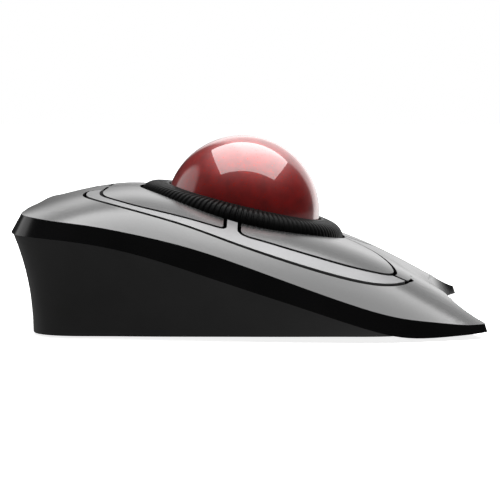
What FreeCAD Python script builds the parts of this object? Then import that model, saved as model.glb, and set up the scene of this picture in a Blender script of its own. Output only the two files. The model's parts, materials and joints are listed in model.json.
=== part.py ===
import FreeCAD, Part
import math
import os

from FreeCAD import Vector

# Cordless trackball mouse with a scroll ring round the ball. Millimetres.
# +Z is up, the front (the user's side) is -Y, the user's left is -X.
# The origin is on the desk, under the middle of the bounding box; the sizes below are measured
# from a line a little in front of it, and CENTRING moves the finished parts.

# ---------------------------------------------------------------- driving sizes
BALL_RADIUS = 27.5
BALL_CENTRE = Vector(0, 3.5, 37.3)
RING_TILT = 13.54            # degrees, the ring's front edge is the low one
RING_RADIUS = 37.0
RING_HOLE_RADIUS = 37.7      # opening in the casing round the ring
WALL = 2.2                   # casing and button skin thickness
GAP = 1.25                   # width of the lines between cover, trim and buttons
FIT = 0.05                   # radial clearance of a running fit
BASE_Z = 0.8                 # underside of the base; the feet stand out below it
FLOOR_TOP = 3.0
PARTING_GAP = 0.15
SWITCH_X = 43.0
SWITCH_S = (8.5, -8.0)       # switch places along the tilted deck: rear, front
DECK_H = -14.9               # top of the switch boards below the ball's centre
CELL_RADIUS = 7.1
CELL_LENGTH = 49.2
CELL_Z = 11.3
CELL_YS = (45.55, 59.85)
EDGE_SAMPLES = 40            # points that a moved outline curve is drawn again through
TILTED = FreeCAD.Placement(BALL_CENTRE, FreeCAD.Rotation(Vector(1, 0, 0), RING_TILT))

UP = Vector(0, 0, 1)
CENTRING = Vector(0, -1.4, 0)
PARTS = {}


# ---------------------------------------------------------------- small helpers
def box(x0, x1, y0, y1, z0, z1):
    return Part.makeBox(x1 - x0, y1 - y0, z1 - z0, Vector(x0, y0, z0))


def post(x, y, radius, z0, z1):
    return Part.makeCylinder(radius, z1 - z0, Vector(x, y, z0), UP)


def rod_x(x0, x1, y, z, radius):
    return Part.makeCylinder(radius, x1 - x0, Vector(x0, y, z), Vector(1, 0, 0))


def mirrored(shape):
    return shape.mirror(Vector(0, 0, 0), Vector(1, 0, 0))


def tilted(shape):
    """Move a shape drawn about the ring's axis, with the ball's centre at 0, into place."""
    moved = shape.copy()
    moved.Placement = TILTED.multiply(moved.Placement)
    return moved


def tilted_point(x, s, h):
    return TILTED.multVec(Vector(x, s, h))


def turned(profile):
    """Solid of revolution about Z from (radius, height) points."""
    points = [Vector(r, 0, h) for r, h in profile]
    face = Part.Face(Part.makePolygon(points + points[:1]))
    return face.revolve(Vector(0, 0, 0), UP, 360)


def open_spline(points):
    curve = Part.BSplineCurve()
    curve.interpolate(Points=[Vector(x, y, 0) for x, y in points])
    return curve.toShape()


def plan_face(curve_points, corner_points):
    """Flat face bounded by a smooth curve and then by straight lines back to its start."""
    edges = [open_spline(curve_points)]
    corners = [curve_points[-1]] + corner_points + [curve_points[0]]
    for start, end in zip(corners, corners[1:]):
        edges.append(Part.LineSegment(Vector(*start, 0), Vector(*end, 0)).toShape())
    return Part.Face(Part.Wire(edges))


def plain_edge(edge):
    """The same edge as a line, an arc or one smooth spline, in place of an offset curve."""
    if isinstance(edge.Curve, (Part.Line, Part.Circle)):
        return edge
    curve = Part.BSplineCurve()
    curve.interpolate(Points=edge.discretize(EDGE_SAMPLES))
    return curve.toShape()


def grown(face, distance):
    """The same flat outline, moved outwards (or inwards) by a distance, as a tall prism."""
    outline = face.makeOffset2D(distance).OuterWire
    edges = [plain_edge(edge) for edge in outline.OrderedEdges]
    return Part.Face(Part.Wire(edges)).extrude(Vector(0, 0, 80))


def solid_of(shape):
    """The one closed solid that a boolean leaves."""
    solids = sorted(shape.Solids, key=lambda s: s.Volume)
    return solids[-1]


def keep(name, shape):
    PARTS[name] = shape
    return shape


# ---------------------------------------------------------------- casing surfaces
# Stations along the casing: y, height on the centre line, height of the shoulder,
# half-width to the shoulder.
CROWN_STATIONS = [
    (90, 34.6, 39.8, 48.0), (78, 39.9, 40.1, 52.5), (68, 43.0, 39.6, 56.2), (55, 45.9, 38.2, 58.9),
    (41, 46.9, 35.6, 60.4), (22, 43.6, 31.0, 61.4), (3.5, 38.8, 25.2, 61.8), (-15, 34.2, 18.9, 61.7),
    (-32.5, 28.8, 13.1, 60.9), (-46, 23.3, 9.3, 59.4), (-58, 17.3, 6.8, 57.2), (-68, 11.8, 5.3, 54.9),
    (-78, 6.1, 4.4, 52.1), (-90, -0.8, 3.2, 48.0),
]
CROWN_POWER = 3.7            # how late the crown rolls over towards the shoulder
VALLEY_START = -36.0         # the valley between the front wings begins here
VALLEY_LENGTH = 34.0
VALLEY_DEPTH = 6.0
VALLEY_WIDTH = 17.0
CROWN_COLUMNS = 27
CROWN_REACH = 1.12           # the crown surface runs this far past the shoulder


def crown_point(station, across):
    y, centre_z, shoulder_z, half_width = station
    x = across * half_width
    z = shoulder_z + (centre_z - shoulder_z) * (1 - abs(across) ** CROWN_POWER)
    depth = min(max((VALLEY_START - y) / VALLEY_LENGTH, 0.0), 2.0) ** 2 * VALLEY_DEPTH
    return Vector(x, y, z - depth * math.exp(-(x / VALLEY_WIDTH) ** 2))


def crown_face():
    half = (CROWN_COLUMNS - 1) / 2
    columns = [CROWN_REACH * (i - half) / half for i in range(CROWN_COLUMNS)]
    grid = [[crown_point(station, across) for across in columns] for station in CROWN_STATIONS]
    surface = Part.BSplineSurface()
    surface.interpolate(grid)
    return surface.toShape()


CROWN = crown_face()


def under_crown(drop=0.0):
    """Everything below the crown surface, or below the crown lowered by a distance."""
    lowered = CROWN.translated(Vector(0, 0, -drop))
    return lowered.extrude(Vector(0, 0, -120))


def crown_z(x, y, drop=0.0):
    """Height of the crown above a point of the plan."""
    line = Part.makeLine(Vector(x, y, -20), Vector(x, y, 90))
    return CROWN.distToShape(line)[1][0][0].z - drop


# Right half of the casing's outline at the parting level, from the rear middle to the
# front middle: x, y and how far the side leans in for each millimetre of height.
SIDE_OUTLINE = [
    (0, 79.8, 0.48), (24, 79.5, 0.48), (44, 78.4, 0.48), (54, 75.1, 0.46), (59.6, 67.8, 0.42),
    (62.0, 56, 0.36), (63.6, 36, 0.33), (64.2, 12, 0.33), (64.1, -10, 0.33), (63.0, -32, 0.33),
    (60.6, -52, 0.33), (57.8, -66, 0.36), (54.8, -76.9, 0.42), (50.2, -80.6, 0.42), (44.4, -78.3, 0.42),
    (36.5, -73.2, 0.42), (21, -69.4, 0.40), (0, -68.0, 0.40),
]
TIP_START = 12               # the three points round a wing's tip begin at this place
CAVITY_TIP = [(55.6, -72.6, 0.30), (49.0, -75.8, 0.30), (42.0, -73.0, 0.30)]   # blunter inside
SIDE_SLOPE = 0.25            # the outline's plane climbs towards the rear
SIDE_LEVEL = 16.5            # its height at y = 0
SIDE_LEVELS = (8.0, 27.0, 50.0)    # heights at y = 0 of the side band's planes
LEAN_TOP = 27.0              # the side stops leaning in above this plane


def both_halves(half):
    return half + [(-x, y) + tuple(rest) for x, y, *rest in reversed(half[1:-1])]


def loop(points, z_at):
    """Closed smooth curve through plan points, laid in a plane that gives z at a point."""
    curve = Part.BSplineCurve()
    curve.interpolate(Points=[Vector(x, y, z_at(y)) for x, y in points], PeriodicFlag=True)
    return curve


def moved_out(points, distances):
    """Plan points moved along the outline's outward normal."""
    curve = loop(points, lambda y: 0.0)
    result = []
    for (x, y), distance in zip(points, distances):
        tangent = curve.tangent(curve.parameter(Vector(x, y, 0)))[0]
        normal = Vector(-tangent.y, tangent.x, 0)
        result.append((x + normal.x * distance, y + normal.y * distance))
    return result


def side_band(inset):
    """Solid bounded by the casing's leaning side wall, or by that wall moved inwards."""
    half = list(SIDE_OUTLINE)
    if inset > 0:
        half[TIP_START:TIP_START + len(CAVITY_TIP)] = CAVITY_TIP
    outline = both_halves(half)
    points = [(x, y) for x, y, lean in outline]
    wires = []
    for level in SIDE_LEVELS:
        rise = min(level, LEAN_TOP) - SIDE_LEVEL
        shift = [-rise * lean - inset for x, y, lean in outline]
        curve = loop(moved_out(points, shift), lambda y: level + SIDE_SLOPE * y)
        wires.append(Part.Wire(curve.toShape()))
    return Part.makeLoft(wires, True, True)


# The line where cover and base meet, as seen from the side: y, z.
PARTING_LINE = [
    (95, 34.6), (76.8, 34.0), (61.1, 32.9), (48.1, 31.1), (32, 27.3), (16, 22.2), (0, 16.9),
    (-16, 11.7), (-32.1, 6.3), (-41.2, 3.5), (-48, 1.9), (-60, 1.2), (-95, 0.7),
]


def parted(above):
    """Everything above, or below, the surface where cover and base meet."""
    shift = 0.0 if above else -PARTING_GAP
    curve = Part.BSplineCurve()
    curve.interpolate(Points=[Vector(-80, y, z + shift) for y, z in PARTING_LINE])
    far = 90 if above else -30
    rear_y, rear_z = PARTING_LINE[0]
    front_y, front_z = PARTING_LINE[-1]
    corners = [
        Vector(-80, front_y, front_z + shift), Vector(-80, front_y, far),
        Vector(-80, rear_y, far), Vector(-80, rear_y, rear_z + shift),
    ]
    edges = [curve.toShape()]
    for start, end in zip(corners, corners[1:]):
        edges.append(Part.LineSegment(start, end).toShape())
    return Part.Face(Part.Wire(edges)).extrude(Vector(160, 0, 0))


ABOVE_PARTING = parted(True)
BELOW_PARTING = parted(False)
UNDER_CROWN = under_crown()
UNDER_SKIN = under_crown(WALL)

# ---------------------------------------------------------------- plan outlines (left side)
# Each curve is the middle of a gap line. The straight corners lie under the ring.
REAR_BUTTON = plan_face(
    [(-3.3, 51.4), (-17.6, 51.4), (-28.6, 51.0), (-35.0, 49.2), (-40.2, 45.0), (-43.9, 39.2),
     (-45.6, 31.5), (-46.0, 21.0), (-46.4, 12.0), (-46.0, 9.2), (-44.2, 8.5)],
    [(-3.3, 8.5)])
FRONT_BUTTON = plan_face(
    [(-44.6, 3.8), (-46.8, 2.6), (-47.5, -1.5), (-47.7, -13), (-47.4, -23), (-46.2, -33),
     (-43.8, -41), (-40.6, -46.4), (-37.5, -48.3), (-33.0, -48.5), (-27.0, -47.4), (-19.5, -45.3),
     (-12.8, -42.9), (-6.5, -37.8), (-2.2, -31)],
    [(-2.2, 3.8)])
TRIM = plan_face(
    [(-12.0, 57.4), (-25.2, 57.1), (-34.0, 55.0), (-40.6, 50.8), (-45.8, 44.3), (-49.2, 34.8),
     (-51.2, 21.3), (-53.1, 8.2), (-54.3, -8), (-54.1, -22), (-52.6, -33.8), (-49.5, -43.1),
     (-44.8, -49.2), (-39.4, -52.5)],
    [(-39.9, -45.5), (-30, -38), (-20, 0), (-12.0, 40)])
GROOVE_DEPTH = 1.2
GROOVE = [(-39.4, -52.5), (-36.2, -54.1), (-33.4, -54.7), (-30.6, -54.6)]


def ring_hole(radius=RING_HOLE_RADIUS):
    return tilted(Part.makeCylinder(radius, 60, Vector(0, 0, -30)))


def skin(prism, drop=WALL):
    """The crown's skin inside a vertical prism."""
    return prism.common(UNDER_CROWN).cut(under_crown(drop))


# ---------------------------------------------------------------- top cover
CASE_SCREWS = [(45.5, 63.5, 20.0), (50.0, -28.0, 8.0), (33.0, -57.5, 6.0)]   # x, y, meeting height
CASE_BOSS_RADIUS = 3.6
SCREW_RADIUS = 1.3
BUTTON_PIVOTS = {"rear": (-24.0, 46.0), "front": (-29.0, -37.5)}
PIVOT_DROP = 4.9             # pivot line below the crown
PIN_RADIUS = 1.0
BARREL_RADIUS = 2.0
BARREL_HALF = 4.0


def pivot_z(row):
    x, y = BUTTON_PIVOTS[row]
    return crown_z(x, y, PIVOT_DROP)


def hinge_cheeks(row):
    """Two lugs under the cover that hold a button's pin, on the left side."""
    x, y = BUTTON_PIVOTS[row]
    z = pivot_z(row)
    outward = 1 if row == "rear" else -1
    gap_y = y + outward * 11.5           # the arm is past the gap line here
    root_y = gap_y + outward * 4.0       # and runs up into the cover's skin
    gap_z = crown_z(x, gap_y, WALL + 1.0)
    root_z = crown_z(x, root_y, WALL / 2)
    side = [
        (y, z + 1.6), (gap_y, gap_z), (gap_y, gap_z + 1.0), (root_y, root_z),
        (root_y, root_z - 5.0), (gap_y, gap_z - 3.5), (y, z - BARREL_RADIUS),
    ]
    pair = None
    for x0 in (x - BARREL_HALF - 2.3, x + BARREL_HALF + 0.3):
        outline = [Vector(x0, py, pz) for py, pz in side]
        arm = Part.Face(Part.makePolygon(outline + outline[:1])).extrude(Vector(2.0, 0, 0))
        lug = arm.fuse(rod_x(x0, x0 + 2.0, y, z, BARREL_RADIUS))
        pair = lug if pair is None else pair.fuse(lug)
    return pair.cut(rod_x(x - 9, x + 9, y, z, PIN_RADIUS))


def make_top_cover():
    cover = solid_of(side_band(0).common(UNDER_CROWN).common(ABOVE_PARTING))
    cavity = side_band(WALL).common(UNDER_SKIN)
    shell = cover.cut(cavity)
    opening = ring_hole()
    for face in (REAR_BUTTON, FRONT_BUTTON, TRIM):
        prism = grown(face, GAP / 2)
        opening = opening.fuse(prism).fuse(mirrored(prism))
    shell = shell.cut(opening)
    outer_side = open_spline([(x, y - GAP / 2) for x, y in GROOVE])
    inner_side = open_spline([(x, y + GAP / 2) for x, y in GROOVE])
    strip = Part.makeRuledSurface(outer_side, inner_side).extrude(Vector(0, 0, 80))
    groove_cut = strip.cut(under_crown(GROOVE_DEPTH))
    shell = shell.cut(groove_cut).cut(mirrored(groove_cut))
    boss_space = cover.common(UNDER_CROWN)
    for x, y, meeting in CASE_SCREWS:
        boss = post(x, y, CASE_BOSS_RADIUS, meeting + 0.05, 60).common(boss_space)
        boss = boss.cut(post(x, y, SCREW_RADIUS, 0, crown_z(x, y, WALL)))
        shell = shell.fuse(boss).fuse(mirrored(boss))
    for row in BUTTON_PIVOTS:
        lugs = hinge_cheeks(row).common(cover)
        for face in (REAR_BUTTON, FRONT_BUTTON, TRIM):
            lugs = lugs.cut(grown(face, GAP / 2).cut(under_crown(WALL + 0.6)))
        shell = shell.fuse(lugs).fuse(mirrored(lugs))
    return solid_of(shell)


print("cover")
top_cover = keep("top_cover", make_top_cover())


# ---------------------------------------------------------------- trim strips
def make_trim():
    strip = grown(TRIM, -GAP / 2).cut(grown(REAR_BUTTON, GAP / 2)).cut(grown(FRONT_BUTTON, GAP / 2))
    return solid_of(skin(strip).cut(ring_hole()))


print("trim")
left_trim = keep("left_trim", make_trim())
keep("right_trim", mirrored(left_trim))

# ---------------------------------------------------------------- buttons and switches
BODY_TOP = DECK_H + 6.6      # top of a switch body above its board
PLUNGER_TOP = BODY_TOP + 1.0
CAP_CLEARANCE = 0.12


def make_cap(row, face):
    cap = solid_of(skin(grown(face, -GAP / 2)).cut(ring_hole()))
    x, y = BUTTON_PIVOTS[row]
    z = pivot_z(row)
    barrel = rod_x(x - BARREL_HALF, x + BARREL_HALF, y, z, BARREL_RADIUS)
    web = box(x - BARREL_HALF, x + BARREL_HALF, y - BARREL_RADIUS, y + BARREL_RADIUS, z, z + 20)
    barrel = barrel.fuse(web.common(under_crown(WALL / 2)))
    barrel = barrel.cut(rod_x(x - 9, x + 9, y, z, PIN_RADIUS + FIT))
    s = SWITCH_S[0] if row == "rear" else SWITCH_S[1]
    foot = Part.makeCylinder(1.8, 40, Vector(-SWITCH_X, s, PLUNGER_TOP + CAP_CLEARANCE), UP)
    foot = tilted(foot).common(under_crown(WALL / 2))
    return solid_of(cap.fuse(barrel).fuse(foot))


def make_switch(s):
    body = Part.makeBox(6.0, 12.8, 6.6, Vector(-SWITCH_X - 3.0, s - 6.4, DECK_H))
    well = Part.makeBox(1.7, 3.1, 2.0, Vector(-SWITCH_X - 0.85, s - 1.55, BODY_TOP - 2.0))
    return tilted(body.cut(well))


def make_plunger(s):
    stem = Part.makeBox(1.5, 2.9, 2.0, Vector(-SWITCH_X - 0.75, s - 1.45, PLUNGER_TOP - 2.0))
    return tilted(stem)


print("buttons")
for row, face, s in (("rear", REAR_BUTTON, SWITCH_S[0]), ("front", FRONT_BUTTON, SWITCH_S[1])):
    cap = make_cap(row, face)
    keep(row + "_left_button", cap)
    keep(row + "_right_button", mirrored(cap))
    keep(row + "_left_switch", make_switch(s))
    keep(row + "_right_switch", mirrored(make_switch(s)))
    keep(row + "_left_plunger", make_plunger(s))
    keep(row + "_right_plunger", mirrored(make_plunger(s)))

pins = []
for row, (x, y) in BUTTON_PIVOTS.items():
    pin = rod_x(x - BARREL_HALF - 2.3, x + BARREL_HALF + 2.3, y, pivot_z(row), PIN_RADIUS)
    pins += [pin, mirrored(pin)]
keep("button_pins", Part.makeCompound(pins))

BOARD_THICKNESS = 1.6
SWITCH_BOARD = (38.7, 49.5, -18.2, 16.8)      # x inner, x outer, s front, s rear
SWITCH_BOARD_BOSSES = [(43.5, -17.0), (43.5, 17.4)]


def make_switch_board():
    x0, x1, s0, s1 = SWITCH_BOARD
    board = Part.makeBox(x1 - x0, s1 - s0 + 3, BOARD_THICKNESS,
                         Vector(-x1, s0 - 1.5, DECK_H - BOARD_THICKNESS))
    for x, s in SWITCH_BOARD_BOSSES:
        board = board.cut(Part.makeCylinder(1.1, 5, Vector(-x, s, DECK_H - 3)))
    return tilted(board)


left_switch_board = keep("left_switch_board", make_switch_board())
keep("right_switch_board", mirrored(left_switch_board))

# ---------------------------------------------------------------- ball, cup and scroll ring
CUP_INNER = 28.1
CUP_OUTER = 30.0
COLLAR_RADIUS = 30.35
COLLAR_TOP = -3.5
FLANGE_TOP = -13.0
FLANGE_BOTTOM = -15.0
FLANGE_RADIUS = 37.6
BEARING_THICKNESS = 0.7
SKIRT_INNER = COLLAR_RADIUS + BEARING_THICKNESS + FIT
SKIRT_OUTER = SKIRT_INNER + 1.4
SKIRT_BOTTOM = -11.6
RING_FLOOR = -2.6
SUPPORT_RADIUS = 1.5
SUPPORT_ELEVATION = 40.0     # degrees below the ring's plane
WINDOW_RADIUS = 4.5
SENSOR_DIRECTION = Vector(0, 0.7071, -0.7071)
CUP_POSTS = [(24.0, 27.5), (24.0, -20.5)]

print("ball and ring")
keep("ball", Part.makeSphere(BALL_RADIUS, BALL_CENTRE))


def bowl_profile():
    """Half section of the cup: an arc inside, an arc below, and the collar and flange."""
    inner_top = Vector(math.sqrt(CUP_INNER ** 2 - COLLAR_TOP ** 2), 0, COLLAR_TOP)
    inner_mid = Vector(CUP_INNER * math.cos(math.radians(45)), 0, -CUP_INNER * math.sin(math.radians(45)))
    outer_side = Vector(math.sqrt(CUP_OUTER ** 2 - FLANGE_BOTTOM ** 2), 0, FLANGE_BOTTOM)
    outer_mid = Vector(CUP_OUTER * math.cos(math.radians(60)), 0, -CUP_OUTER * math.sin(math.radians(60)))
    inner_low = Vector(0, 0, -CUP_INNER)
    outer_low = Vector(0, 0, -CUP_OUTER)
    corners = [
        outer_side, Vector(FLANGE_RADIUS, 0, FLANGE_BOTTOM), Vector(FLANGE_RADIUS, 0, FLANGE_TOP),
        Vector(COLLAR_RADIUS, 0, FLANGE_TOP), Vector(COLLAR_RADIUS, 0, COLLAR_TOP), inner_top,
    ]
    edges = [Part.LineSegment(a, b).toShape() for a, b in zip(corners, corners[1:])]
    edges.append(Part.Arc(inner_top, inner_mid, inner_low).toShape())
    edges.append(Part.LineSegment(inner_low, outer_low).toShape())
    edges.append(Part.Arc(outer_low, outer_mid, outer_side).toShape())
    return Part.Face(Part.Wire(Part.__sortEdges__(edges)))


def support_directions():
    """Directions from the ball's centre to the three small balls it runs on."""
    drop = math.radians(SUPPORT_ELEVATION)
    directions = []
    for turn in (30, 150, 270):
        around = math.radians(turn)
        level = math.cos(drop)
        point = tilted_point(level * math.cos(around), level * math.sin(around), -math.sin(drop))
        directions.append(point - BALL_CENTRE)
    return directions


def support_balls():
    reach = BALL_RADIUS + SUPPORT_RADIUS + 0.02
    return [Part.makeSphere(SUPPORT_RADIUS, BALL_CENTRE + way * reach) for way in support_directions()]


def make_cup():
    cup = tilted(bowl_profile().revolve(Vector(0, 0, 0), UP, 360))
    for way in support_directions():
        cup = cup.cut(Part.makeCylinder(SUPPORT_RADIUS, 8, BALL_CENTRE + way * 25, way))
    window = Part.makeCylinder(WINDOW_RADIUS, 20, BALL_CENTRE + SENSOR_DIRECTION * 20, SENSOR_DIRECTION)
    cup = cup.cut(window)
    cup = cup.cut(Part.makeCylinder(2.0, 40, BALL_CENTRE - UP * 45, UP))
    flange_space = tilted(Part.makeCylinder(60, 100, Vector(0, 0, FLANGE_TOP - 100)))
    hollow = Part.makeSphere(CUP_OUTER - 0.3, BALL_CENTRE)
    for x, y in CUP_POSTS:
        for side in (-1, 1):
            leg = post(side * x, y, 3.4, FLOOR_TOP, 60).common(flange_space).cut(hollow)
            cup = cup.fuse(solid_of(leg))
            cup = cup.cut(post(side * x, y, SCREW_RADIUS, 0, FLOOR_TOP + 8))
    return solid_of(cup)


keep("ball_cup", make_cup())
keep("support_bearings", Part.makeCompound(support_balls()))
keep("ring_bearing", tilted(turned([
    (COLLAR_RADIUS, FLANGE_TOP + 0.3), (COLLAR_RADIUS + BEARING_THICKNESS, FLANGE_TOP + 0.3),
    (COLLAR_RADIUS + BEARING_THICKNESS, COLLAR_TOP - 0.3), (COLLAR_RADIUS, COLLAR_TOP - 0.3)])))


def make_ring():
    """Low crowned ring with a lip near the ball and a flat underside."""
    return tilted(turned([
        (28.2, RING_FLOOR), (28.0, 1.0), (27.8, 4.2), (28.3, 4.5), (29.6, 4.4), (32.0, 4.1), (34.0, 3.5),
        (35.6, 2.4), (36.6, 0.8), (RING_RADIUS, -1.0), (RING_RADIUS, RING_FLOOR)]))


def make_skirt():
    skirt = turned([
        (SKIRT_INNER, SKIRT_BOTTOM), (SKIRT_OUTER, SKIRT_BOTTOM), (SKIRT_OUTER, RING_FLOOR),
        (SKIRT_INNER, RING_FLOOR)])
    slots = 48
    for i in range(slots):
        slot = Part.makeBox(6, 2.0, 2.6, Vector(SKIRT_INNER - 2, -1.0, SKIRT_BOTTOM - 0.5))
        slot.rotate(Vector(0, 0, 0), UP, 360.0 * i / slots)
        skirt = skirt.cut(slot)
    return tilted(skirt)


keep("scroll_ring", make_ring())
keep("encoder_skirt", make_skirt())


# Ring sensor: a fork that the slotted skirt passes through, at the front of the cup.
def make_ring_sensor():
    middle = -(SKIRT_INNER + SKIRT_OUTER) / 2
    fork = Part.makeBox(7, 7.6, 9.0, Vector(-3.5, middle - 3.8, FLANGE_BOTTOM - 3.0))
    gate = Part.makeBox(9, 2.8, 7.0, Vector(-4.5, middle - 1.4, SKIRT_BOTTOM - 1.2))
    return tilted(fork.cut(gate))


def fork_window():
    middle = -(SKIRT_INNER + SKIRT_OUTER) / 2
    return tilted(Part.makeBox(7.4, 12.0, 12.0, Vector(-3.7, middle - 8.0, FLANGE_BOTTOM - 4.0)))


ring_sensor = keep("ring_sensor", make_ring_sensor().cut(Part.makeSphere(CUP_OUTER + 0.4, BALL_CENTRE)))
trimmed_sensor = ring_sensor.cut(tilted(Part.makeCylinder(COLLAR_RADIUS + BEARING_THICKNESS + 0.2, 40,
                                                          Vector(0, 0, -30))))
keep("ring_sensor", solid_of(trimmed_sensor))
PARTS["ball_cup"] = solid_of(PARTS["ball_cup"].cut(fork_window().cut(
    tilted(Part.makeCylinder(COLLAR_RADIUS, 40, Vector(0, 0, -30))))))
keep("ring_sensor_board", tilted(Part.makeBox(18, 9, 1.2, Vector(-9, -38.0, FLANGE_BOTTOM - 4.2))))


# Optical pick-up: lens, chip and board in a row along the sight line to the ball.
def on_sight_line(shape):
    """Place a shape drawn along +Z so that +Z is the sight line, starting at the ball's centre."""
    turn = FreeCAD.Rotation(UP, SENSOR_DIRECTION)
    shape.Placement = FreeCAD.Placement(BALL_CENTRE, turn).multiply(shape.Placement)
    return shape


lens = Part.makeCylinder(WINDOW_RADIUS - 0.2, 2.6, Vector(0, 0, 29.0))
lens = lens.fuse(Part.makeCylinder(6.0, 0.9, Vector(0, 0, 31.2)))
keep("ball_sensor_lens", on_sight_line(lens))
keep("ball_sensor_chip", on_sight_line(Part.makeBox(9, 9, 2.6, Vector(-4.5, -4.5, 32.2))))
keep("ball_sensor_board", on_sight_line(Part.makeBox(18, 16, 1.2, Vector(-9, -8, 34.8))))

# ---------------------------------------------------------------- base shell
# Right half outlines of the base: underside, part-way up the wall, and above the parting.
BASE_OUTLINES = [
    [(0, 73.6), (22, 73.5), (40, 73.0), (48.8, 70.4), (53.2, 63.2), (54.3, 50), (54.9, 32), (55.0, 10),
     (55.0, -12), (54.6, -30), (54.2, -42), (51.5, -49.5), (40, -51.5), (0, -51.5)],
    [(0, 78.0), (22, 77.8), (42, 76.8), (51.2, 73.4), (56.0, 65.6), (57.6, 52), (58.8, 32), (60.0, 10),
     (60.8, -12), (60.4, -30), (58.4, -42), (53.5, -49.8), (41, -51.7), (0, -51.7)],
    [(0, 85.2), (24, 84.9), (45, 83.4), (55.8, 78.6), (60.4, 69.3), (61.7, 55), (62.6, 34), (63.5, 11),
     (63.8, -11), (63.0, -30), (60.4, -42), (54.5, -50.2), (42, -52.0), (0, -52.0)],
]
FAN_Y = -60.0                # the three outline planes meet in a line here, at the underside
FAN_SLOPES = (0.0, 0.191, 0.298)
FRONT_FLOOR = [              # right half of the floor under the front wings
    (0, -40), (40, -40), (51.0, -44), (52.6, -56), (50.2, -66), (46.0, -70.5), (40.5, -68.8),
    (32, -64.5), (20, -62.0), (0, -61.5),
]


def base_block(inset):
    wires = []
    for half, slope in zip(BASE_OUTLINES, FAN_SLOPES):
        points = both_halves(half)
        points = moved_out(points, [-inset] * len(points))
        curve = loop(points, lambda y: BASE_Z + slope * (y - FAN_Y))
        wires.append(Part.Wire(curve.toShape()))
    return Part.makeLoft(wires, True, False)


DOOR = (-29.6, 29.6, 37.6, 68.0)         # battery door: x, x, pivot line y, rear y
DOOR_PIVOT_Z = 2.0
DOOR_EDGE = 1.2
DOOR_STUB = 0.6
SLIDER = (-16.0, -28.0)                  # power switch place
SLIDER_TRAVEL = 3.5
RECEIVER = (4.0, 24.0, -47.0, -32.0)     # slot for the stored receiver
BOARD_BOSSES = [(37.0, 35.2), (36.5, 64.0)]
MAIN_BOARD_Z = 21.2
FEET = [(42.5, 53.0), (44.5, -60.5)]
FOOT_RADIUS = 5.0
FOOT_RECESS = 0.7


def make_base():
    print("base")
    outer = base_block(0).common(BELOW_PARTING)
    inner = base_block(2.4).cut(box(-90, 90, -90, 110, -10, FLOOR_TOP))
    base = solid_of(outer.cut(inner))
    curve = loop(both_halves(FRONT_FLOOR), lambda y: BASE_Z)
    floor = Part.Face(Part.Wire(curve.toShape())).extrude(Vector(0, 0, FLOOR_TOP - BASE_Z))
    base = base.fuse(floor.common(under_crown(WALL + 0.4)))
    cover_room = side_band(WALL + 0.15)
    nose = box(-90, 90, -90, -47, -10, 30).cut(cover_room)
    base = base.cut(nose)
    inside = base_block(0).common(BELOW_PARTING).fuse(cover_room.common(under_crown(WALL + 0.4)))
    # columns for the case screws, the cup, the boards
    for x, y, meeting in CASE_SCREWS:
        for side in (-1, 1):
            column = post(side * x, y, CASE_BOSS_RADIUS, BASE_Z, meeting).common(inside)
            base = base.fuse(column)
    for x, y in BOARD_BOSSES:
        for side in (-1, 1):
            base = base.fuse(post(side * x, y, 2.6, BASE_Z, MAIN_BOARD_Z))
            base = base.cut(post(side * x, y, 1.0, MAIN_BOARD_Z - 7, MAIN_BOARD_Z + 1))
    under_boards = tilted(Part.makeCylinder(90, 80, Vector(0, 0, DECK_H - BOARD_THICKNESS - 80)))
    for x, s in SWITCH_BOARD_BOSSES:
        place = tilted_point(x, s, DECK_H - BOARD_THICKNESS)
        for side in (-1, 1):
            stand = post(side * x, place.y, 2.6, BASE_Z, 60).common(under_boards)
            pilot = Part.makeCylinder(1.0, 8, Vector(side * x, s, DECK_H - BOARD_THICKNESS - 7))
            base = base.fuse(solid_of(stand)).cut(tilted(pilot))
    # screw holes from below, with a step for each head
    for x, y, meeting in CASE_SCREWS:
        for side in (-1, 1):
            base = base.cut(post(side * x, y, 1.5, 0, meeting + 1))
            base = base.cut(post(side * x, y, 2.7, 0, meeting - 2.6))
    for x, y in CUP_POSTS:
        for side in (-1, 1):
            base = base.cut(post(side * x, y, 1.5, 0, FLOOR_TOP + 1))
            base = base.cut(post(side * x, y, 2.7, 0, FLOOR_TOP - 1.1))
    # battery door opening, its pivot holes and the finger notch
    x0, x1, pivot_y, rear_y = DOOR
    base = base.cut(box(x0 - 0.3, x1 + 0.3, pivot_y - DOOR_EDGE - 0.1, rear_y + 0.3, 0, FLOOR_TOP + 0.1))
    for side in (-1, 1):
        ear = box(x1 + 0.3, x1 + 4.3, pivot_y - 2.2, pivot_y + 2.2, BASE_Z, 4.2)
        ear = ear.cut(rod_x(x1, x1 + 2.2, pivot_y, DOOR_PIVOT_Z, DOOR_STUB + FIT))
        if side < 0:
            ear = mirrored(ear)
        notch = box(x1 + 0.3, x1 + 2.2, pivot_y - 1.2, pivot_y + 1.2, 0, FLOOR_TOP + 0.1)
        base = base.cut(notch if side > 0 else mirrored(notch)).fuse(ear)
    # power slider slot and receiver slot
    sx, sy = SLIDER
    base = base.cut(box(sx - 2.6, sx + 2.6, sy - 5.2, sy + 5.2 + 0.1, 0, FLOOR_TOP + 0.1))
    rx0, rx1, ry0, ry1 = RECEIVER
    base = base.cut(box(rx0, rx1, ry0, ry1, 0, FLOOR_TOP + 0.1))
    sleeve = box(rx0 - 1.2, rx1 + 1.2, ry0 - 1.2, ry1 + 1.2, BASE_Z, 11.2)
    sleeve = sleeve.cut(box(rx0, rx1, ry0, ry1, 0, 10.0))
    base = base.fuse(sleeve)
    for x, y in FEET:
        for side in (-1, 1):
            base = base.cut(post(side * x, y, FOOT_RADIUS, 0, BASE_Z + FOOT_RECESS))
    return solid_of(base)


keep("base_shell", make_base())


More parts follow.
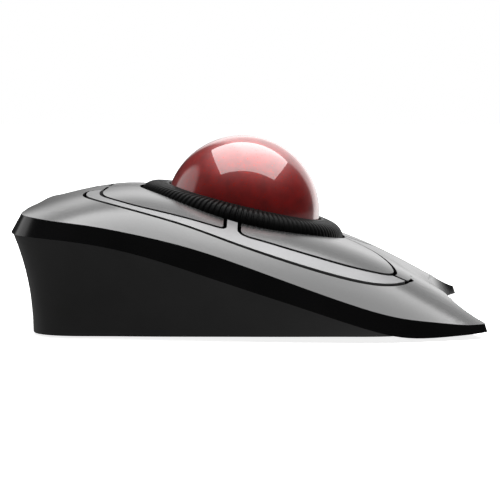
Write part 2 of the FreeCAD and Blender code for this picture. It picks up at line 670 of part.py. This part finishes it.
# ---------------------------------------------------------------- battery bay
TRAY_WALL = 1.2
TRAY_TOP = 20.2
TRAY = (-31.0, 31.0, 38.4, 68.2)
LEAF_HALF = 3.6              # half the width and height of a battery contact leaf
LEAF_SHEET = 0.4


def make_tray():
    x0, x1, y0, y1 = TRAY
    tray = box(x0, x1, y0, y1, FLOOR_TOP, TRAY_TOP)
    tray = tray.cut(box(x0 + TRAY_WALL, x1 - TRAY_WALL, y0, y1 - TRAY_WALL, 0, TRAY_TOP - TRAY_WALL))
    tray = tray.fuse(box(x0, x1, y0 - TRAY_WALL, y0, FLOOR_TOP + 1.6, TRAY_TOP))
    middle = sum(CELL_YS) / 2
    rib = box(x0 + 6, x1 - 6, middle - 0.15, middle + 0.15, 18.0, TRAY_TOP)
    tray = tray.fuse(rib)
    for x in (x0 - 1, x1 - 6):
        tray = tray.cut(box(x, x + 7, y0 - 5, y0 + 2, 0, 4.4))
    return solid_of(tray)


def make_cell(y, pole):
    """A cell lying across the mouse; pole is +1 where its nub points to +X."""
    half = CELL_LENGTH / 2
    can = rod_x(-half, half, y, CELL_Z, CELL_RADIUS)
    nub_x = half if pole > 0 else -half - 1.3
    return can.fuse(rod_x(nub_x, nub_x + 1.3, y, CELL_Z, 2.75))


def make_spring(y, side):
    """Bowed leaf between the bay's end wall and a cell's flat end."""
    wall = TRAY[1] - TRAY_WALL
    cell_end = CELL_LENGTH / 2
    low = CELL_Z - LEAF_HALF
    high = CELL_Z + LEAF_HALF
    profile = [
        (wall, low), (wall, high), (wall - LEAF_SHEET, high), (wall - LEAF_SHEET, low + 2.2),
        (cell_end + 0.05 + LEAF_SHEET, CELL_Z), (cell_end + 1.6, high - 1.4), (cell_end + 1.2, high - 1.2),
        (cell_end + 0.05, CELL_Z), (wall - LEAF_SHEET, low),
    ]
    points = [Vector(x, y - LEAF_HALF, z) for x, z in profile]
    leaf = Part.Face(Part.makePolygon(points + points[:1])).extrude(Vector(0, 2 * LEAF_HALF, 0))
    return leaf if side > 0 else mirrored(leaf)


def make_plate(y, side):
    x = TRAY[1] - TRAY_WALL
    plate = box(x - 0.3, x, y - 5.0, y + 5.0, CELL_Z - 5.5, CELL_Z + 5.5)
    tip = CELL_LENGTH / 2 + 1.3 + 0.05
    dimple = rod_x(tip, x - 0.3, y, CELL_Z, 2.0)
    plate = plate.fuse(dimple)
    return plate if side > 0 else mirrored(plate)


def make_door():
    x0, x1, pivot_y, rear_y = DOOR
    plate = box(x0, x1, pivot_y, rear_y, BASE_Z, BASE_Z + 1.7)
    edge = rod_x(x0, x1, pivot_y, DOOR_PIVOT_Z, DOOR_EDGE)
    stubs = rod_x(x0 - 1.9, x1 + 1.9, pivot_y, DOOR_PIVOT_Z, DOOR_STUB)
    latch = box(-5, 5, rear_y - 3.4, rear_y - 2.2, BASE_Z + 1.0, BASE_Z + 3.4)
    grip = box(-7, 7, rear_y - 1.6, rear_y + 1, 0, BASE_Z + 0.7)
    return solid_of(plate.fuse(edge).fuse(stubs).fuse(latch).cut(grip).removeSplitter())


print("battery bay")
keep("battery_tray", make_tray())
keep("battery_1", make_cell(CELL_YS[0], 1))
keep("battery_2", make_cell(CELL_YS[1], -1))
keep("battery_springs", Part.makeCompound([make_spring(CELL_YS[0], -1), make_spring(CELL_YS[1], 1)]))
keep("battery_plates", Part.makeCompound([make_plate(CELL_YS[0], 1), make_plate(CELL_YS[1], -1)]))
keep("battery_door", make_door())

# ---------------------------------------------------------------- boards and small parts
print("small parts")
main_board = box(-46, 46, 32.0, 67.0, MAIN_BOARD_Z, MAIN_BOARD_Z + BOARD_THICKNESS)
for x, y in BOARD_BOSSES:
    for side in (-1, 1):
        main_board = main_board.cut(post(side * x, y, 1.1, MAIN_BOARD_Z - 1, MAIN_BOARD_Z + 3))
for side in (-1, 1):
    x, y, meeting = CASE_SCREWS[0]
    main_board = main_board.cut(post(side * x, y, CASE_BOSS_RADIUS + 0.4, MAIN_BOARD_Z - 1, MAIN_BOARD_Z + 3))
keep("main_board", solid_of(main_board))
board_top = MAIN_BOARD_Z + BOARD_THICKNESS
chips = [
    box(-6, 6, 44, 56, board_top, board_top + 1.2), box(-28, -14, 46, 58, board_top, board_top + 2.2),
    box(14, 22, 42, 47, board_top, board_top + 1.6), post(26, 56, 2.5, board_top, board_top + 7),
]
keep("main_chips", Part.makeCompound(chips))


def make_power_switch():
    sx, sy = SLIDER
    body = box(sx - 4.5, sx + 4.5, sy - 8.0, sy + 8.0, FLOOR_TOP, FLOOR_TOP + 4.5)
    slot = box(sx - 1.6, sx + 1.6, sy - 4.4, sy + 4.5, FLOOR_TOP - 1, FLOOR_TOP + 2.1)
    return body.cut(slot)


def make_power_slider():
    sx, sy = SLIDER
    centre = sy - SLIDER_TRAVEL / 2
    thumb = box(sx - 2.4, sx + 2.4, centre - 3.2, centre + 3.2, BASE_Z + 0.3, FLOOR_TOP - 0.15)
    for offset in (-1.6, 0.0, 1.6):
        thumb = thumb.cut(box(sx - 3, sx + 3, centre + offset - 0.3, centre + offset + 0.3, 0, BASE_Z + 0.7))
    tang = box(sx - 1.4, sx + 1.4, centre - 2.4, centre + 2.4, BASE_Z + 1.5, FLOOR_TOP + 1.9)
    return thumb.fuse(tang)


def make_receiver():
    rx0, rx1, ry0, ry1 = RECEIVER
    middle = (ry0 + ry1) / 2
    plug = box(rx0 + 7.2, rx1 - 0.4, middle - 6.0, middle + 6.0, 3.0, 7.5)
    body = box(rx0 + 0.4, rx0 + 7.2, ry0 + 0.4, ry1 - 0.4, 1.4, 8.6)
    return plug.fuse(body)


keep("power_switch_body", make_power_switch())
keep("power_slider", make_power_slider())
keep("usb_receiver", make_receiver())

feet = []
case_screws = []
cup_screws = []
board_screws = []
for side in (-1, 1):
    for x, y in FEET:
        foot = post(side * x, y, FOOT_RADIUS - 0.1, 0, BASE_Z + FOOT_RECESS)
        feet.append(foot.makeFillet(0.4, [e for e in foot.Edges if abs(e.BoundBox.ZMax) < 1e-3]))
    for x, y, meeting in CASE_SCREWS:
        top = min(meeting + 6, crown_z(x, y, WALL) - 0.5)
        shank = post(side * x, y, SCREW_RADIUS, meeting - 3.0, top)
        case_screws.append(shank.fuse(post(side * x, y, 2.5, meeting - 4.2, meeting - 2.6)))
    for x, y in CUP_POSTS:
        shank = post(side * x, y, SCREW_RADIUS, 1.5, FLOOR_TOP + 7)
        cup_screws.append(shank.fuse(post(side * x, y, 2.5, BASE_Z + 0.1, FLOOR_TOP - 1.1)))
    for x, y in BOARD_BOSSES:
        shank = post(side * x, y, 1.0, MAIN_BOARD_Z - 5, board_top)
        board_screws.append(shank.fuse(post(side * x, y, 2.0, board_top, board_top + 1.3)))
    for x, s in SWITCH_BOARD_BOSSES:
        shank = Part.makeCylinder(1.0, 6.6, Vector(side * x, s, DECK_H - BOARD_THICKNESS - 5))
        head = Part.makeCylinder(2.0, 1.3, Vector(side * x, s, DECK_H))
        board_screws.append(tilted(shank.fuse(head)))
keep("rubber_feet", Part.makeCompound(feet))
keep("case_screws", Part.makeCompound(case_screws))
keep("cup_screws", Part.makeCompound(cup_screws))
keep("board_screws", Part.makeCompound(board_screws))

# ---------------------------------------------------------------- write the parts
os.makedirs("parts", exist_ok=True)
for name, shape in PARTS.items():
    shape.translated(CENTRING).exportStep("parts/" + name + ".step")
    print(name, len(shape.Solids), "solid(s)", round(shape.Volume), "mm3", shape.isValid())
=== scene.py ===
import json
import math

import bmesh
import bpy
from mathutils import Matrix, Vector


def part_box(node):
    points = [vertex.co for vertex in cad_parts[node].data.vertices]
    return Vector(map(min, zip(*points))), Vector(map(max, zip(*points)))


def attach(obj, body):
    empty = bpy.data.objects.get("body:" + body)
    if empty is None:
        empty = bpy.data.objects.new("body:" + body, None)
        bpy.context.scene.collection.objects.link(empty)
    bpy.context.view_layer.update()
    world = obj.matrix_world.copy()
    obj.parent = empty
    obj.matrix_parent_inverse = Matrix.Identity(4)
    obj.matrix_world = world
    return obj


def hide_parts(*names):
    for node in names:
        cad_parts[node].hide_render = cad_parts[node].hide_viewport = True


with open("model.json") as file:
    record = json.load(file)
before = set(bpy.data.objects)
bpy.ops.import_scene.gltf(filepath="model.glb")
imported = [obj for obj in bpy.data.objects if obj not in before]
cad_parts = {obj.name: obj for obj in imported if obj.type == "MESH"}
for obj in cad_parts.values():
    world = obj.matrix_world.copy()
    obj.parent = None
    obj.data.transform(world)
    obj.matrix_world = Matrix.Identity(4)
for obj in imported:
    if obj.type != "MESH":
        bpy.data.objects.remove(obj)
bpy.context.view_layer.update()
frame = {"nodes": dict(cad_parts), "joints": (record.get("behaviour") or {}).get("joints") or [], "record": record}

# Looks of the trackball mouse: glossy black cover and buttons, satin silver trim, matte black
# base, ribbed scroll ring and a polished red ball with metallic flecks. Lengths are in metres.

JOINTS = {joint["name"]: joint for joint in frame["joints"]}
BALL_CENTRE = Vector(JOINTS["ring_spin"]["pos_m"])
RING_AXIS = Vector(JOINTS["ring_spin"]["axis"]).normalized()
BALL_RADIUS = (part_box("ball")[1].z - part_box("ball")[0].z) / 2
RING_RADIUS = (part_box("scroll_ring")[1].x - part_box("scroll_ring")[0].x) / 2


# ---------------------------------------------------------------- material helpers
def new_material(name):
    material = bpy.data.materials.new(name)
    material.use_nodes = True
    tree = material.node_tree
    shader = tree.nodes["Principled BSDF"]
    return material, tree, shader


def node(tree, kind, **values):
    made = tree.nodes.new(kind)
    for key, value in values.items():
        setattr(made, key, value)
    return made


def noise(tree, scale, detail=2.0):
    """Noise over the object's own coordinates, which are metres in the shared frame."""
    place = node(tree, "ShaderNodeTexCoord")
    made = node(tree, "ShaderNodeTexNoise")
    made.inputs["Scale"].default_value = scale
    made.inputs["Detail"].default_value = detail
    tree.links.new(place.outputs["Object"], made.inputs["Vector"])
    return made


def ramp(tree, source, stops):
    """Colour ramp from (position, colour) stops."""
    made = node(tree, "ShaderNodeValToRGB")
    elements = made.color_ramp.elements
    while len(elements) < len(stops):
        elements.new(0.5)
    for element, (position, colour) in zip(elements, stops):
        element.position = position
        element.color = colour if len(colour) == 4 else (*colour, 1.0)
    tree.links.new(source, made.inputs["Fac"])
    return made


def grey(value):
    return (value, value, value)


def grey_range(tree, source, low, high):
    made = node(tree, "ShaderNodeMapRange")
    made.inputs["To Min"].default_value = low
    made.inputs["To Max"].default_value = high
    tree.links.new(source, made.inputs["Value"])
    return made


def add_bump(tree, shader, source, strength, distance):
    bump = node(tree, "ShaderNodeBump")
    bump.inputs["Strength"].default_value = strength
    bump.inputs["Distance"].default_value = distance
    tree.links.new(source, bump.inputs["Height"])
    tree.links.new(bump.outputs["Normal"], shader.inputs["Normal"])


GRAIN_DEPTH = 0.00005
PLASTIC_IOR = 1.5


def moulded(name, dark, light, rough_low, rough_high, grain=0.0, grain_scale=9000.0,
            metallic=0.0, mottle_scale=60.0, specular=0.5):
    """Moulded or painted plastic: slow colour and gloss drift, and a fine grain."""
    material, tree, shader = new_material(name)
    mottle = noise(tree, mottle_scale, 3.0)
    colour = ramp(tree, mottle.outputs["Fac"], [(0.3, dark), (0.7, light)])
    tree.links.new(colour.outputs["Color"], shader.inputs["Base Color"])
    gloss = grey_range(tree, mottle.outputs["Fac"], rough_low, rough_high)
    tree.links.new(gloss.outputs["Result"], shader.inputs["Roughness"])
    if grain > 0:
        add_bump(tree, shader, noise(tree, grain_scale).outputs["Fac"], grain, GRAIN_DEPTH)
    shader.inputs["Metallic"].default_value = metallic
    shader.inputs["IOR"].default_value = PLASTIC_IOR
    shader.inputs["Specular IOR Level"].default_value = specular
    return material


FLECK_SCALE = 2600.0
FLECK_RED = (0.40, 0.020, 0.012, 1.0)
RESIN_DARK = (0.17, 0.0022, 0.0024)
RESIN_LIGHT = (0.27, 0.0042, 0.0040)
RESIN_ROUGHNESS = 0.42
POLISH_ROUGHNESS = 0.015
POLISH_IOR = 1.55


def ball_material():
    """Deep red resin with small bright metallic flecks under a polished clear coat."""
    material, tree, shader = new_material("ball_red_speckle")
    place = node(tree, "ShaderNodeTexCoord")
    cells = node(tree, "ShaderNodeTexVoronoi")
    cells.inputs["Scale"].default_value = FLECK_SCALE
    tree.links.new(place.outputs["Object"], cells.inputs["Vector"])
    flecks = ramp(tree, cells.outputs["Color"], [(0.80, (0, 0, 0)), (0.92, (1, 1, 1))])
    cloud = noise(tree, 240.0, 4.0)
    body = ramp(tree, cloud.outputs["Fac"], [(0.3, RESIN_DARK), (0.7, RESIN_LIGHT)])
    mixed = node(tree, "ShaderNodeMix", data_type="RGBA")
    mixed.inputs[7].default_value = FLECK_RED
    tree.links.new(flecks.outputs["Color"], mixed.inputs[0])
    tree.links.new(body.outputs["Color"], mixed.inputs[6])
    tree.links.new(mixed.outputs[2], shader.inputs["Base Color"])
    shine = grey_range(tree, flecks.outputs["Color"], 0.25, 0.9)
    tree.links.new(shine.outputs["Result"], shader.inputs["Metallic"])
    shader.inputs["Roughness"].default_value = RESIN_ROUGHNESS
    shader.inputs["Coat Weight"].default_value = 1.0
    shader.inputs["Coat Roughness"].default_value = POLISH_ROUGHNESS
    shader.inputs["Coat IOR"].default_value = POLISH_IOR
    return material


MATERIALS = {
    "gloss_black": moulded("gloss_black", (0.0035, 0.0035, 0.0037), (0.0050, 0.0050, 0.0053),
                           0.21, 0.25),
    "silver_trim": moulded("silver_trim", (0.125, 0.125, 0.127), (0.16, 0.16, 0.162), 0.42, 0.50,
                           grain=0.2, grain_scale=7000, metallic=0.75),
    "matte_black": moulded("matte_black", grey(0.032), grey(0.042), 0.50, 0.58,
                           grain=0.35, grain_scale=4200, specular=0.3),
    "ring_black": moulded("ring_black", grey(0.003), grey(0.005), 0.30, 0.38,
                          grain=0.1, grain_scale=6000, specular=0.02),
    "ball_red": ball_material(),
    "inner_black": moulded("inner_black", grey(0.02), grey(0.03), 0.5, 0.6,
                           grain=0.3, grain_scale=3000),
    "pale_plastic": moulded("pale_plastic", (0.70, 0.70, 0.67), (0.80, 0.80, 0.77), 0.35, 0.45,
                            grain=0.2, grain_scale=4000),
    "circuit_board": moulded("circuit_board", (0.01, 0.10, 0.04), (0.02, 0.15, 0.06), 0.30, 0.40,
                             grain=0.3, grain_scale=2500, mottle_scale=400),
    "chip_black": moulded("chip_black", grey(0.02), grey(0.03), 0.45, 0.55,
                          grain=0.4, grain_scale=6000),
    "clear_lens": moulded("clear_lens", (0.60, 0.68, 0.72), (0.66, 0.74, 0.78), 0.05, 0.09),
    "steel": moulded("steel", (0.48, 0.48, 0.50), (0.60, 0.60, 0.62), 0.22, 0.34, grain=0.2,
                     grain_scale=5000, metallic=1.0),
    "cell_jacket": moulded("cell_jacket", (0.50, 0.50, 0.53), (0.60, 0.60, 0.63), 0.25, 0.35,
                           grain=0.1, metallic=0.4),
    "foot_rubber": moulded("foot_rubber", grey(0.035), grey(0.05), 0.7, 0.8,
                           grain=0.5, grain_scale=2500),
    "receiver_black": moulded("receiver_black", grey(0.015), grey(0.022), 0.3, 0.4,
                              grain=0.3, grain_scale=5000),
}

SLOT_OF = {row["node"]: row["material_slot"] for row in frame["record"]["subparts"]}


def dress_cad_nodes():
    for name, cad in frame["nodes"].items():
        cad.data.materials.clear()
        cad.data.materials.append(MATERIALS[SLOT_OF[name]])


dress_cad_nodes()


# ---------------------------------------------------------------- meshes
def add_mesh(name, vertices, faces, slot, body, replaced):
    mesh = bpy.data.meshes.new(name)
    mesh.from_pydata([tuple(v) for v in vertices], [], faces)
    mesh.validate()
    mesh.update()
    mesh.materials.append(MATERIALS[slot])
    piece = bpy.data.objects.new(name, mesh)
    bpy.context.scene.collection.objects.link(piece)
    for polygon in mesh.polygons:
        polygon.use_smooth = True
    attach(piece, body)
    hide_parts(*replaced)


BALL_SEGMENTS = 160
BALL_RINGS = 96


def make_ball():
    """Finely divided sphere, so that its outline and its reflections stay round."""
    made = bmesh.new()
    bmesh.ops.create_uvsphere(made, u_segments=BALL_SEGMENTS, v_segments=BALL_RINGS,
                              radius=BALL_RADIUS)
    bmesh.ops.translate(made, verts=made.verts, vec=BALL_CENTRE)
    vertices = [v.co.copy() for v in made.verts]
    faces = [[v.index for v in face.verts] for face in made.faces]
    made.free()
    add_mesh("red_ball", vertices, faces, "ball_red", "ball", ["ball"])


RIBS = 120
STEPS_PER_RIB = 8
RIB_DEPTH = 0.00075
RIB_SINK_UP = 0.75           # share of a valley's depth that goes along the axis
RIB_SINK_OUT = 0.66          # share that goes towards it
VALLEY_POWER = 0.8


def ring_profile():
    """(radius, height above the ball's centre, share of the rib depth) round the ring's section."""
    outer = RING_RADIUS
    mm = 0.001
    return [
        (28.25 * mm, -2.6 * mm, 0), (28.1 * mm, 0.0, 0), (27.95 * mm, 2.5 * mm, 0),
        (27.85 * mm, 3.9 * mm, 0), (27.95 * mm, 4.25 * mm, 0), (28.2 * mm, 4.42 * mm, 0),
        (28.6 * mm, 4.45 * mm, 0), (29.1 * mm, 4.4 * mm, 0.1), (29.5 * mm, 4.36 * mm, 0.6),
        (30.2 * mm, 4.3 * mm, 1), (31.2 * mm, 4.2 * mm, 1), (32.2 * mm, 4.05 * mm, 1),
        (33.2 * mm, 3.8 * mm, 1), (34.2 * mm, 3.4 * mm, 1), (35.0 * mm, 2.85 * mm, 1),
        (35.7 * mm, 2.2 * mm, 1), (36.2 * mm, 1.5 * mm, 1), (36.6 * mm, 0.7 * mm, 1),
        (outer - 0.15 * mm, -0.2 * mm, 1),
        (outer - 0.05 * mm, -0.9 * mm, 1), (outer, -1.5 * mm, 0.6), (outer, -2.0 * mm, 0.1),
        (outer, -2.6 * mm, 0),
    ]


def make_ring():
    """Ring with fine rounded ribs, each one a raised bar with a narrow valley beside it."""
    side = Vector((1, 0, 0))
    along = RING_AXIS.cross(side).normalized()
    profile = ring_profile()
    count = RIBS * STEPS_PER_RIB
    rows = []
    vertices = []
    for step in range(count):
        turn = 2 * math.pi * step / count
        outward = side * math.cos(turn) + along * math.sin(turn)
        phase = (step % STEPS_PER_RIB) / STEPS_PER_RIB
        valley = max(0.0, math.cos(2 * math.pi * phase)) ** VALLEY_POWER
        row = []
        for radius, height, share in profile:
            sink = valley * share * RIB_DEPTH
            centre = BALL_CENTRE + RING_AXIS * (height - sink * RIB_SINK_UP)
            row.append(len(vertices))
            vertices.append(centre + outward * (radius - sink * RIB_SINK_OUT))
        rows.append(row)
    faces = []
    for step in range(count):
        here = rows[step]
        there = rows[(step + 1) % count]
        for i in range(len(profile)):
            j = (i + 1) % len(profile)
            faces.append([here[i], there[i], there[j], here[j]])
    add_mesh("ribbed_ring", vertices, faces, "ring_black", "ring", ["scroll_ring"])


make_ball()
make_ring()


# ---------------------------------------------------------------- stage, light and camera
# The surroundings, seen only in reflections. Azimuths run from +X towards +Y, in degrees. A panel
# is (azimuth, elevation, ramp over the cosine of the angle from its middle).
BACKDROP_EDGES = (-50.0, 19.0)
EDGE_FADE = [(0.0, grey(0.0)), (0.12, grey(1.0))]
SIDE_PANEL = (70.0, 18.0, [(0.90, grey(0.0)), (0.94, grey(0.60))])
# brightness of the backdrop against height above the horizon (0.5), leaning brighter towards -Y
RISE_LEAN = -0.6
RISE = [(0.46, grey(0.05)), (0.50, grey(0.16)), (0.52, grey(0.24)), (0.56, grey(0.58)),
        (0.65, grey(1.0)), (0.78, grey(0.68))]
# light from below the horizon (0.5)
UNDER = [(0.46, grey(0.15)), (0.50, grey(0.0))]
DARK_SIDE = 0.012
SURROUND_STRENGTH = 1.9


def aim_vector(azimuth, elevation):
    """Unit vector for an azimuth from +X towards +Y and an elevation, in degrees."""
    turn = math.radians(azimuth)
    tilt = math.radians(elevation)
    level = math.cos(tilt)
    return Vector((level * math.cos(turn), level * math.sin(turn), math.sin(tilt)))


def share_of(tree, direction, middle):
    """Dot product of the direction looked in with a fixed vector."""
    towards = node(tree, "ShaderNodeVectorMath", operation="DOT_PRODUCT")
    towards.inputs[1].default_value = middle
    tree.links.new(direction, towards.inputs[0])
    return towards.outputs["Value"]


def cone(tree, direction, azimuth, elevation, stops):
    """Ramp over the cosine of the angle from the cone's middle."""
    return ramp(tree, share_of(tree, direction, aim_vector(azimuth, elevation)), stops)


def height_ramp(tree, direction, upward, stops):
    """Ramp over a height that runs from 0 to 1, with the horizon at 0.5."""
    half = math_node(tree, "MULTIPLY_ADD", share_of(tree, direction, upward), 0.5)
    half.node.inputs[2].default_value = 0.5
    return ramp(tree, half, stops)


def math_node(tree, operation, first, second):
    made = node(tree, "ShaderNodeMath", operation=operation)
    for place, value in enumerate((first, second)):
        if isinstance(value, float):
            made.inputs[place].default_value = value
        else:
            tree.links.new(value, made.inputs[place])
    return made.outputs["Value"]


def make_world():
    """White for the camera; for reflections, pale behind the object and dark in front of it."""
    world = bpy.data.worlds.new("studio")
    bpy.context.scene.world = world
    world.use_nodes = True
    tree = world.node_tree
    tree.nodes.clear()
    direction = node(tree, "ShaderNodeTexCoord").outputs["Generated"]
    edges = []
    for azimuth, inward in zip(BACKDROP_EDGES, (90.0, -90.0)):
        edges.append(cone(tree, direction, azimuth + inward, 0.0, EDGE_FADE))
    backdrop = math_node(tree, "MULTIPLY", edges[0].outputs["Color"], edges[1].outputs["Color"])
    panel = cone(tree, direction, *SIDE_PANEL)
    rise = height_ramp(tree, direction, (0.0, RISE_LEAN, 1.0), RISE)
    under = height_ramp(tree, direction, (0.0, 0.0, 1.0), UNDER)
    total = math_node(tree, "MULTIPLY", backdrop, rise.outputs["Color"])
    for added in (panel.outputs["Color"], under.outputs["Color"], DARK_SIDE):
        total = math_node(tree, "ADD", total, added)
    around = node(tree, "ShaderNodeBackground")
    tree.links.new(total, around.inputs["Color"])
    around.inputs["Strength"].default_value = SURROUND_STRENGTH
    plain = node(tree, "ShaderNodeBackground")
    plain.inputs["Color"].default_value = (1, 1, 1, 1)
    plain.inputs["Strength"].default_value = 1.0
    path = node(tree, "ShaderNodeLightPath")
    choose = node(tree, "ShaderNodeMixShader")
    tree.links.new(path.outputs["Is Camera Ray"], choose.inputs["Fac"])
    tree.links.new(around.outputs["Background"], choose.inputs[1])
    tree.links.new(plain.outputs["Background"], choose.inputs[2])
    out = node(tree, "ShaderNodeOutputWorld")
    tree.links.new(choose.outputs["Shader"], out.inputs["Surface"])


FLOOR_GLOW = 0.84
FLOOR_HALF = 2.5


def floor_material():
    material, tree, shader = new_material("floor_white")
    soft = noise(tree, 4.0)
    colour = ramp(tree, soft.outputs["Fac"], [(0.3, (0.86, 0.86, 0.86)), (0.7, (0.88, 0.88, 0.88))])
    tree.links.new(colour.outputs["Color"], shader.inputs["Base Color"])
    shader.inputs["Roughness"].default_value = 0.9
    shader.inputs["Specular IOR Level"].default_value = 0.0
    shader.inputs["Emission Color"].default_value = (1, 1, 1, 1)
    shader.inputs["Emission Strength"].default_value = FLOOR_GLOW
    return material


def make_floor():
    mesh = bpy.data.meshes.new("floor")
    corners = [(-FLOOR_HALF, -FLOOR_HALF, 0), (FLOOR_HALF, -FLOOR_HALF, 0),
               (FLOOR_HALF, FLOOR_HALF, 0), (-FLOOR_HALF, FLOOR_HALF, 0)]
    mesh.from_pydata(corners, [], [(0, 1, 2, 3)])
    mesh.materials.append(floor_material())
    floor = bpy.data.objects.new("floor", mesh)
    bpy.context.scene.collection.objects.link(floor)
    floor.visible_diffuse = False
    floor.visible_glossy = False


def area_light(name, place, target, size_x, size_y, power):
    light = bpy.data.lights.new(name, "AREA")
    light.shape = "RECTANGLE"
    light.size = size_x
    light.size_y = size_y
    light.energy = power
    lamp = bpy.data.objects.new(name, light)
    lamp.location = place
    aim = Vector(target) - Vector(place)
    lamp.rotation_euler = aim.to_track_quat("-Z", "Y").to_euler()
    bpy.context.scene.collection.objects.link(lamp)


SOFTBOX_HEIGHT = 0.62         # above the ball's centre
SOFTBOX_MIDDLE = (0.22 * SOFTBOX_HEIGHT, -0.20 * SOFTBOX_HEIGHT)
SOFTBOX_SIZE = (1.3 * SOFTBOX_HEIGHT, 1.5 * SOFTBOX_HEIGHT)
SOFTBOX_POWER = 12.5


def make_lights():
    place = (*SOFTBOX_MIDDLE, SOFTBOX_HEIGHT + BALL_CENTRE.z)
    area_light("overhead_softbox", place, (*SOFTBOX_MIDDLE, 0.0), *SOFTBOX_SIZE, SOFTBOX_POWER)


CAMERA_PLACE = (-0.5999, -0.00827, 0.0849)
CAMERA_TURN = 0.732          # degrees, from +X towards +Y
CAMERA_TILT = -5.819
CAMERA_LENS = 121.3
SENSOR_WIDTH = 36.0


def make_camera():
    data = bpy.data.cameras.new("camera")
    data.lens = CAMERA_LENS
    data.sensor_width = SENSOR_WIDTH
    camera = bpy.data.objects.new("camera", data)
    camera.location = CAMERA_PLACE
    aim = aim_vector(CAMERA_TURN, CAMERA_TILT)
    camera.rotation_euler = aim.to_track_quat("-Z", "Y").to_euler()
    bpy.context.scene.collection.objects.link(camera)
    bpy.context.scene.camera = camera


make_world()
make_floor()
make_lights()
make_camera()
bpy.context.scene.view_settings.view_transform = "Standard"
